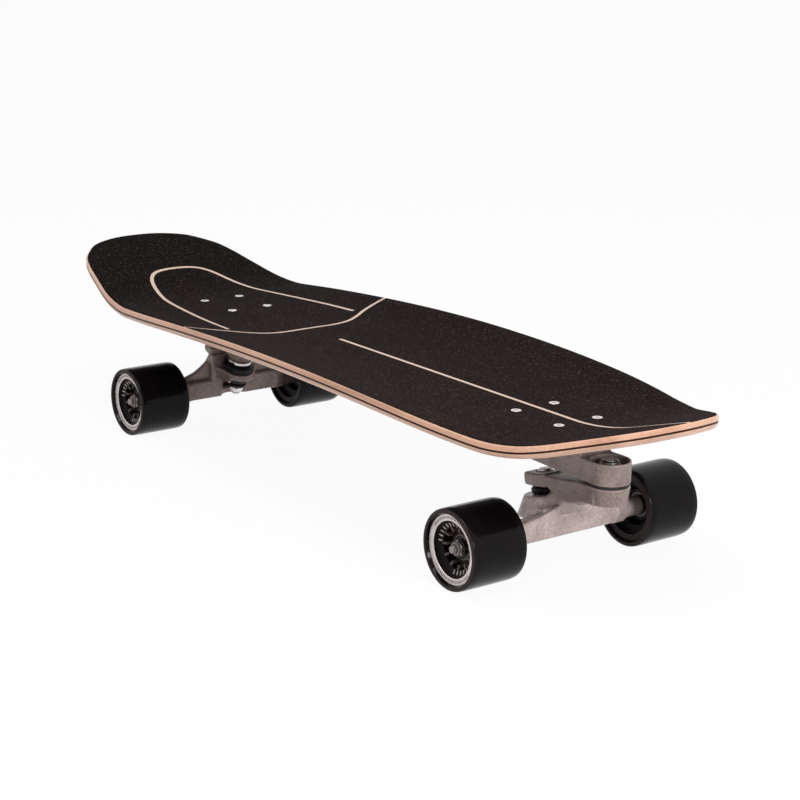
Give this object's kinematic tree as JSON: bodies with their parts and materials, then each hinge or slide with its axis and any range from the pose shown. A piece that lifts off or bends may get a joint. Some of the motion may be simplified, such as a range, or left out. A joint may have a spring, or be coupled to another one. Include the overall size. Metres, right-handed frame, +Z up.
{
  "type": "surf skateboard",
  "caption": "Surf skateboard with a kicked maple deck, black grip with bare-wood stripes, a swinging front truck, a fixed rear truck and black wheels",
  "frame": {"origin": "on the ground, under the middle of the deck's length and width", "axes": "+X to the nose, +Y to the left seen from behind, +Z up"},
  "size_m": [0.865, 0.2452, 0.1625],
  "materials": {
    "maple": "clear-coated maple veneer, seen in the edge and in the stripes",
    "dark_maple": "dyed middle ply",
    "grip": "black abrasive grip sheet, fine sparkle",
    "cast_aluminium": "raw cast aluminium, blasted, slightly warm",
    "zinc": "zinc-plated steel",
    "bearing_steel": "bright bearing steel",
    "urethane": "glossy black cast urethane",
    "core_plastic": "dark moulded core",
    "bushing": "black urethane bushings and pivot cups",
    "spring": "bare spring wire"
  },
  "bodies": {
    "board": {"deck_lower_plies": "maple", "deck_dark_ply": "dark_maple", "deck_upper_plies": "maple", "grip_front": "grip", "grip_rear": "grip", "deck_bolt_1": "zinc", "deck_bolt_2": "zinc", "deck_bolt_3": "zinc", "deck_bolt_4": "zinc", "deck_bolt_5": "zinc", "deck_bolt_6": "zinc", "deck_bolt_7": "zinc", "deck_bolt_8": "zinc", "front_base": "cast_aluminium", "front_pivot_bolt": "zinc", "front_pivot_nut": "zinc", "front_pivot_sleeve": "bearing_steel", "front_thrust_washer_upper": "bearing_steel", "front_centring_spring": "spring", "rear_base": "cast_aluminium", "rear_pivot_cup": "bushing", "rear_kingpin": "zinc", "rear_kingpin_nut": "zinc", "rear_cup_washer_upper": "zinc", "rear_cup_washer_lower": "zinc", "rear_bushing_upper": "bushing", "rear_bushing_lower": "bushing"},
    "front_arm": {"front_swing_arm": "cast_aluminium", "front_thrust_washer_lower": "bearing_steel", "front_pivot_cup": "bushing", "front_kingpin": "zinc", "front_kingpin_nut": "zinc", "front_cup_washer_upper": "zinc", "front_cup_washer_lower": "zinc", "front_bushing_upper": "bushing", "front_bushing_lower": "bushing"},
    "front_hanger": {"front_hanger": "cast_aluminium", "front_axle": "zinc", "front_left_axle_nut": "zinc", "front_right_axle_nut": "zinc"},
    "rear_hanger": {"rear_hanger": "cast_aluminium", "rear_axle": "zinc", "rear_left_axle_nut": "zinc", "rear_right_axle_nut": "zinc"},
    "front_left_wheel": {"front_left_tyre": "urethane", "front_left_core": "core_plastic", "front_left_bearing_inner": "bearing_steel", "front_left_bearing_outer": "bearing_steel"},
    "front_right_wheel": {"front_right_tyre": "urethane", "front_right_core": "core_plastic", "front_right_bearing_inner": "bearing_steel", "front_right_bearing_outer": "bearing_steel"},
    "rear_left_wheel": {"rear_left_tyre": "urethane", "rear_left_core": "core_plastic", "rear_left_bearing_inner": "bearing_steel", "rear_left_bearing_outer": "bearing_steel"},
    "rear_right_wheel": {"rear_right_tyre": "urethane", "rear_right_core": "core_plastic", "rear_right_bearing_inner": "bearing_steel", "rear_right_bearing_outer": "bearing_steel"}
  },
  "joints": [
    {"name": "front_arm_swing", "type": "hinge", "parent": "board", "child": "front_arm", "pos_m": [0.3465, 0, 0.08], "axis": [0, 0, 1], "range_deg": [-25, 25], "stiffness_Nm_per_rad": 25, "deforming": ["front_centring_spring"]},
    {"name": "front_hanger_tilt", "type": "hinge", "parent": "front_arm", "child": "front_hanger", "pos_m": [0.2735, 0, 0.04965], "axis": [0.9272, 0, 0.3746], "range_deg": [-12, 12], "stiffness_Nm_per_rad": 60, "deforming": ["front_bushing_upper", "front_bushing_lower"]},
    {"name": "rear_hanger_tilt", "type": "hinge", "parent": "board", "child": "rear_hanger", "pos_m": [-0.2178, 0, 0.05065], "axis": [-0.9205, 0, 0.3907], "range_deg": [-12, 12], "stiffness_Nm_per_rad": 60, "deforming": ["rear_bushing_upper", "rear_bushing_lower"]},
    {"name": "front_left_spin", "type": "hinge", "parent": "front_hanger", "child": "front_left_wheel", "pos_m": [0.294, 0.0955, 0.03415], "axis": [0, 1, 0], "continuous": true},
    {"name": "front_right_spin", "type": "hinge", "parent": "front_hanger", "child": "front_right_wheel", "pos_m": [0.294, -0.0955, 0.03415], "axis": [0, 1, 0], "continuous": true},
    {"name": "rear_left_spin", "type": "hinge", "parent": "rear_hanger", "child": "rear_left_wheel", "pos_m": [-0.235, 0.0955, 0.03415], "axis": [0, 1, 0], "continuous": true},
    {"name": "rear_right_spin", "type": "hinge", "parent": "rear_hanger", "child": "rear_right_wheel", "pos_m": [-0.235, -0.0955, 0.03415], "axis": [0, 1, 0], "continuous": true}
  ]
}
